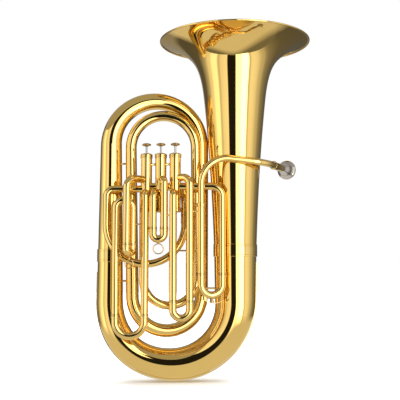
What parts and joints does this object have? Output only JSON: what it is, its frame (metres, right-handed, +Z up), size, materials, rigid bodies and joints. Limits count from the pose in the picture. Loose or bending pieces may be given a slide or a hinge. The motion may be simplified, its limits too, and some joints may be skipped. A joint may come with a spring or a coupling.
{
  "type": "tuba",
  "caption": "Upright three-quarter size tuba with top-action piston valves, pull slides, water key, leadpipe and removable mouthpiece.",
  "frame": {"origin": "lowest point of the bottom cap, below the middle of the bottom bow", "axes": "+Z up the bell axis, +X towards the bell side, -Y towards the valve side"},
  "size_m": [0.5248, 0.3738, 0.8357],
  "materials": {
    "lacquered_brass": "polished",
    "nickel_plate": "polished",
    "silver_plate": "polished",
    "steel": "polished",
    "felt": "matte",
    "cork": "matte"
  },
  "bodies": {
    "instrument": {"bell": "lacquered_brass", "bell_ferrule": "lacquered_brass", "bell_rim_wire": "lacquered_brass", "body_braces": "lacquered_brass", "bottom_bow": "lacquered_brass", "bottom_bow_cap": "lacquered_brass", "bottom_bow_guard": "lacquered_brass", "bottom_bow_long_leg": "lacquered_brass", "bottom_valve_caps": "lacquered_brass", "casing_braces": "lacquered_brass", "crossover_tube": "lacquered_brass", "first_valve_tubing": "lacquered_brass", "fourth_branch": "lacquered_brass", "inner_top_bow": "lacquered_brass", "large_branch": "lacquered_brass", "large_branch_ferrule": "lacquered_brass", "leadpipe": "lacquered_brass", "main_slide_inlet_leg": "lacquered_brass", "mouthpiece_receiver": "lacquered_brass", "second_branch": "lacquered_brass", "second_lower_bow": "lacquered_brass", "second_valve_tubing": "lacquered_brass", "sleeve_rings": "lacquered_brass", "slide_braces": "lacquered_brass", "stem_felts": "felt", "third_branch": "lacquered_brass", "third_lower_bow": "lacquered_brass", "third_valve_lower_tubing": "lacquered_brass", "third_valve_upper_tubing": "lacquered_brass", "top_bow": "lacquered_brass", "top_valve_caps": "lacquered_brass", "valve_casing_1": "lacquered_brass", "valve_casing_2": "lacquered_brass", "valve_casing_3": "lacquered_brass", "valve_knuckles": "lacquered_brass", "valve_outlet_loop": "lacquered_brass", "valve_spring_1": "steel", "valve_spring_2": "steel", "valve_spring_3": "steel"},
    "main_slide": {"main_tuning_slide": "lacquered_brass", "water_key_mount": "lacquered_brass", "water_key_pin": "steel"},
    "water_key": {"water_key_lever": "lacquered_brass", "water_key_cork": "cork"},
    "first_slide": {"first_valve_slide": "lacquered_brass"},
    "second_slide": {"second_valve_slide": "lacquered_brass", "second_slide_pull_ring": "lacquered_brass"},
    "third_upper_slide": {"third_valve_upper_slide": "lacquered_brass", "third_slide_pull_ring": "lacquered_brass"},
    "third_lower_slide": {"third_valve_lower_slide": "lacquered_brass"},
    "mouthpiece_body": {"mouthpiece": "silver_plate"},
    "valve_1": {"piston_1": "nickel_plate", "valve_stem_1": "steel", "finger_button_1": "lacquered_brass"},
    "valve_2": {"piston_2": "nickel_plate", "valve_stem_2": "steel", "finger_button_2": "lacquered_brass"},
    "valve_3": {"piston_3": "nickel_plate", "valve_stem_3": "steel", "finger_button_3": "lacquered_brass"}
  },
  "joints": [
    {"name": "main_slide_pull", "type": "slide", "parent": "instrument", "child": "main_slide", "axis": [0, 0, -1], "range_m": [0, 0.09]},
    {"name": "first_slide_pull", "type": "slide", "parent": "instrument", "child": "first_slide", "axis": [0, 0, -1], "range_m": [0, 0.08]},
    {"name": "second_slide_pull", "type": "slide", "parent": "instrument", "child": "second_slide", "axis": [0, 0, -1], "range_m": [0, 0.035]},
    {"name": "third_upper_slide_pull", "type": "slide", "parent": "instrument", "child": "third_upper_slide", "axis": [0, 0, -1], "range_m": [0, 0.048]},
    {"name": "third_lower_slide_pull", "type": "slide", "parent": "instrument", "child": "third_lower_slide", "axis": [0, 0, -1], "range_m": [0, 0.09]},
    {"name": "valve_1_press", "type": "slide", "parent": "instrument", "child": "valve_1", "axis": [0, 0, -1], "range_m": [0, 0.016], "stiffness_N_per_m": 150, "springref_m": -0.022, "deforming": ["valve_spring_1"]},
    {"name": "valve_2_press", "type": "slide", "parent": "instrument", "child": "valve_2", "axis": [0, 0, -1], "range_m": [0, 0.016], "stiffness_N_per_m": 150, "springref_m": -0.022, "deforming": ["valve_spring_2"]},
    {"name": "valve_3_press", "type": "slide", "parent": "instrument", "child": "valve_3", "axis": [0, 0, -1], "range_m": [0, 0.016], "stiffness_N_per_m": 150, "springref_m": -0.022, "deforming": ["valve_spring_3"]},
    {"name": "water_key_hinge", "type": "hinge", "parent": "main_slide", "child": "water_key", "pos_m": [0.07427, -0.0741, 0.1979], "axis": [-0.3202, 0.9474, 0], "range_deg": [0, 20], "stiffness_Nm_per_rad": 0.03, "springref_deg": -20.05},
    {"name": "mouthpiece_pull", "type": "slide", "parent": "instrument", "child": "mouthpiece_body", "axis": [0.4384, 0.8988, 0], "range_m": [0, 0.024]}
  ]
}
